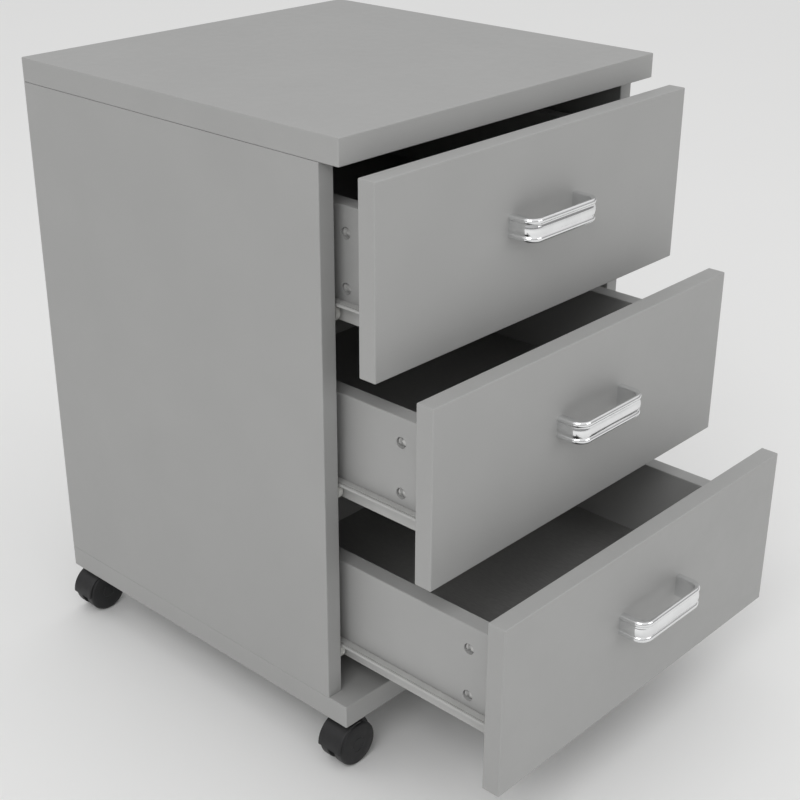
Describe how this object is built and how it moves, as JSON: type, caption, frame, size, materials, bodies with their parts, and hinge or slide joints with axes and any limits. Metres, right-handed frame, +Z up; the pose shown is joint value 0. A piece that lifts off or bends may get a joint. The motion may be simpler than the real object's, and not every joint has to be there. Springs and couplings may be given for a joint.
{
  "type": "rolling pedestal cabinet",
  "caption": "Low office pedestal with overlay-front drawers, bow handles and roller runners, on swivelling twin-wheel casters.",
  "frame": {"origin": "on the floor, under the middle of the carcass's width and depth", "axes": "+Z up, -Y towards the user in front of the drawers, +X to the right seen from the front"},
  "size_m": [0.4067, 0.594, 0.574],
  "materials": {
    "grey_melamine": "light grey melamine facing, smooth and matt, on chipboard",
    "box_melamine": "light grey melamine facing, smooth and matt, on chipboard",
    "bottom_board": "thin fibreboard with a grey lacquered face",
    "polished_handle": "bright chrome over cast zinc",
    "runner_enamel": "light grey baked enamel on folded steel",
    "white_nylon": "white nylon",
    "zinc_fitting": "zinc-plated die casting",
    "screw_steel": "zinc-plated steel",
    "beech": "fluted beech",
    "hood_plastic": "black moulded nylon with a fine texture",
    "wheel_plastic": "black moulded nylon, satin",
    "axle_steel": "bright steel bar",
    "socket_plastic": "dark moulded nylon"
  },
  "bodies": {
    "carcass": {"top_panel": "grey_melamine", "bottom_panel": "grey_melamine", "left_side_panel": "grey_melamine", "right_side_panel": "grey_melamine", "back_panel": "grey_melamine", "top_cam_fittings": "zinc_fitting", "carcass_dowels": "beech", "carcass_screws": "screw_steel", "cabinet_runners": "runner_enamel", "caster_stems": "axle_steel", "caster_sockets": "socket_plastic"},
    "top_drawer": {"top_drawer_front": "grey_melamine", "top_drawer_left_side": "box_melamine", "top_drawer_right_side": "box_melamine", "top_drawer_back": "box_melamine", "top_drawer_bottom": "bottom_board", "top_drawer_handle": "polished_handle", "top_drawer_front_cams": "zinc_fitting", "top_drawer_screws": "screw_steel", "top_drawer_runners": "runner_enamel"},
    "top_drawer_rear_rollers": {"top_drawer_rear_rollers": "white_nylon"},
    "top_drawer_guide_rollers": {"top_drawer_guide_rollers": "white_nylon"},
    "middle_drawer": {"middle_drawer_front": "grey_melamine", "middle_drawer_left_side": "box_melamine", "middle_drawer_right_side": "box_melamine", "middle_drawer_back": "box_melamine", "middle_drawer_bottom": "bottom_board", "middle_drawer_handle": "polished_handle", "middle_drawer_front_cams": "zinc_fitting", "middle_drawer_screws": "screw_steel", "middle_drawer_runners": "runner_enamel"},
    "middle_drawer_rear_rollers": {"middle_drawer_rear_rollers": "white_nylon"},
    "middle_drawer_guide_rollers": {"middle_drawer_guide_rollers": "white_nylon"},
    "bottom_drawer": {"bottom_drawer_front": "grey_melamine", "bottom_drawer_left_side": "box_melamine", "bottom_drawer_right_side": "box_melamine", "bottom_drawer_back": "box_melamine", "bottom_drawer_bottom": "bottom_board", "bottom_drawer_handle": "polished_handle", "bottom_drawer_front_cams": "zinc_fitting", "bottom_drawer_screws": "screw_steel", "bottom_drawer_runners": "runner_enamel"},
    "bottom_drawer_rear_rollers": {"bottom_drawer_rear_rollers": "white_nylon"},
    "bottom_drawer_guide_rollers": {"bottom_drawer_guide_rollers": "white_nylon"},
    "front_left_caster_hood": {"front_left_caster_hood": "hood_plastic", "front_left_caster_axle": "axle_steel"},
    "front_left_caster_front_wheel": {"front_left_caster_front_wheel": "wheel_plastic"},
    "front_left_caster_rear_wheel": {"front_left_caster_rear_wheel": "wheel_plastic"},
    "front_right_caster_hood": {"front_right_caster_hood": "hood_plastic", "front_right_caster_axle": "axle_steel"},
    "front_right_caster_front_wheel": {"front_right_caster_front_wheel": "wheel_plastic"},
    "front_right_caster_rear_wheel": {"front_right_caster_rear_wheel": "wheel_plastic"},
    "rear_left_caster_hood": {"rear_left_caster_hood": "hood_plastic", "rear_left_caster_axle": "axle_steel"},
    "rear_left_caster_front_wheel": {"rear_left_caster_front_wheel": "wheel_plastic"},
    "rear_left_caster_rear_wheel": {"rear_left_caster_rear_wheel": "wheel_plastic"},
    "rear_right_caster_hood": {"rear_right_caster_hood": "hood_plastic", "rear_right_caster_axle": "axle_steel"},
    "rear_right_caster_front_wheel": {"rear_right_caster_front_wheel": "wheel_plastic"},
    "rear_right_caster_rear_wheel": {"rear_right_caster_rear_wheel": "wheel_plastic"}
  },
  "joints": [
    {"name": "top_drawer_slide", "type": "slide", "parent": "carcass", "child": "top_drawer", "axis": [0, -1, 0], "range_m": [-0.039, 0.221]},
    {"name": "top_drawer_rear_rollers_turn", "type": "hinge", "parent": "top_drawer", "child": "top_drawer_rear_rollers", "pos_m": [0, 0.116, 0.4257], "axis": [1, 0, 0], "continuous": true},
    {"name": "top_drawer_guide_rollers_turn", "type": "hinge", "parent": "carcass", "child": "top_drawer_guide_rollers", "pos_m": [0, -0.165, 0.4251], "axis": [1, 0, 0], "continuous": true},
    {"name": "middle_drawer_slide", "type": "slide", "parent": "carcass", "child": "middle_drawer", "axis": [0, -1, 0], "range_m": [-0.098, 0.162]},
    {"name": "middle_drawer_rear_rollers_turn", "type": "hinge", "parent": "middle_drawer", "child": "middle_drawer_rear_rollers", "pos_m": [0, 0.057, 0.26645], "axis": [1, 0, 0], "continuous": true},
    {"name": "middle_drawer_guide_rollers_turn", "type": "hinge", "parent": "carcass", "child": "middle_drawer_guide_rollers", "pos_m": [0, -0.165, 0.26585], "axis": [1, 0, 0], "continuous": true},
    {"name": "bottom_drawer_slide", "type": "slide", "parent": "carcass", "child": "bottom_drawer", "axis": [0, -1, 0], "range_m": [-0.173, 0.087]},
    {"name": "bottom_drawer_rear_rollers_turn", "type": "hinge", "parent": "bottom_drawer", "child": "bottom_drawer_rear_rollers", "pos_m": [0, -0.018, 0.1072], "axis": [1, 0, 0], "continuous": true},
    {"name": "bottom_drawer_guide_rollers_turn", "type": "hinge", "parent": "carcass", "child": "bottom_drawer_guide_rollers", "pos_m": [0, -0.165, 0.1066], "axis": [1, 0, 0], "continuous": true},
    {"name": "front_left_caster_swivel", "type": "hinge", "parent": "carcass", "child": "front_left_caster_hood", "pos_m": [-0.169, -0.1825, 0.049], "axis": [0, 0, 1], "continuous": true},
    {"name": "front_left_caster_front_wheel_turn", "type": "hinge", "parent": "front_left_caster_hood", "child": "front_left_caster_front_wheel", "pos_m": [-0.183, -0.1825, 0.021], "axis": [0, 1, 0], "continuous": true},
    {"name": "front_left_caster_rear_wheel_turn", "type": "hinge", "parent": "front_left_caster_hood", "child": "front_left_caster_rear_wheel", "pos_m": [-0.183, -0.1825, 0.021], "axis": [0, 1, 0], "continuous": true},
    {"name": "front_right_caster_swivel", "type": "hinge", "parent": "carcass", "child": "front_right_caster_hood", "pos_m": [0.169, -0.1825, 0.049], "axis": [0, 0, 1], "continuous": true},
    {"name": "front_right_caster_front_wheel_turn", "type": "hinge", "parent": "front_right_caster_hood", "child": "front_right_caster_front_wheel", "pos_m": [0.155, -0.1825, 0.021], "axis": [0, 1, 0], "continuous": true},
    {"name": "front_right_caster_rear_wheel_turn", "type": "hinge", "parent": "front_right_caster_hood", "child": "front_right_caster_rear_wheel", "pos_m": [0.155, -0.1825, 0.021], "axis": [0, 1, 0], "continuous": true},
    {"name": "rear_left_caster_swivel", "type": "hinge", "parent": "carcass", "child": "rear_left_caster_hood", "pos_m": [-0.169, 0.1825, 0.049], "axis": [0, 0, 1], "continuous": true},
    {"name": "rear_left_caster_front_wheel_turn", "type": "hinge", "parent": "rear_left_caster_hood", "child": "rear_left_caster_front_wheel", "pos_m": [-0.183, 0.1825, 0.021], "axis": [0, 1, 0], "continuous": true},
    {"name": "rear_left_caster_rear_wheel_turn", "type": "hinge", "parent": "rear_left_caster_hood", "child": "rear_left_caster_rear_wheel", "pos_m": [-0.183, 0.1825, 0.021], "axis": [0, 1, 0], "continuous": true},
    {"name": "rear_right_caster_swivel", "type": "hinge", "parent": "carcass", "child": "rear_right_caster_hood", "pos_m": [0.169, 0.1825, 0.049], "axis": [0, 0, 1], "continuous": true},
    {"name": "rear_right_caster_front_wheel_turn", "type": "hinge", "parent": "rear_right_caster_hood", "child": "rear_right_caster_front_wheel", "pos_m": [0.155, 0.1825, 0.021], "axis": [0, 1, 0], "continuous": true},
    {"name": "rear_right_caster_rear_wheel_turn", "type": "hinge", "parent": "rear_right_caster_hood", "child": "rear_right_caster_rear_wheel", "pos_m": [0.155, 0.1825, 0.021], "axis": [0, 1, 0], "continuous": true}
  ],
  "couplings": [
    {"joint": "top_drawer_rear_rollers_turn", "follows": "top_drawer_slide", "rad_per_m": 105.26},
    {"joint": "top_drawer_guide_rollers_turn", "follows": "top_drawer_slide", "rad_per_m": 119.05},
    {"joint": "middle_drawer_rear_rollers_turn", "follows": "middle_drawer_slide", "rad_per_m": 105.26},
    {"joint": "middle_drawer_guide_rollers_turn", "follows": "middle_drawer_slide", "rad_per_m": 119.05},
    {"joint": "bottom_drawer_rear_rollers_turn", "follows": "bottom_drawer_slide", "rad_per_m": 105.26},
    {"joint": "bottom_drawer_guide_rollers_turn", "follows": "bottom_drawer_slide", "rad_per_m": 119.05}
  ]
}
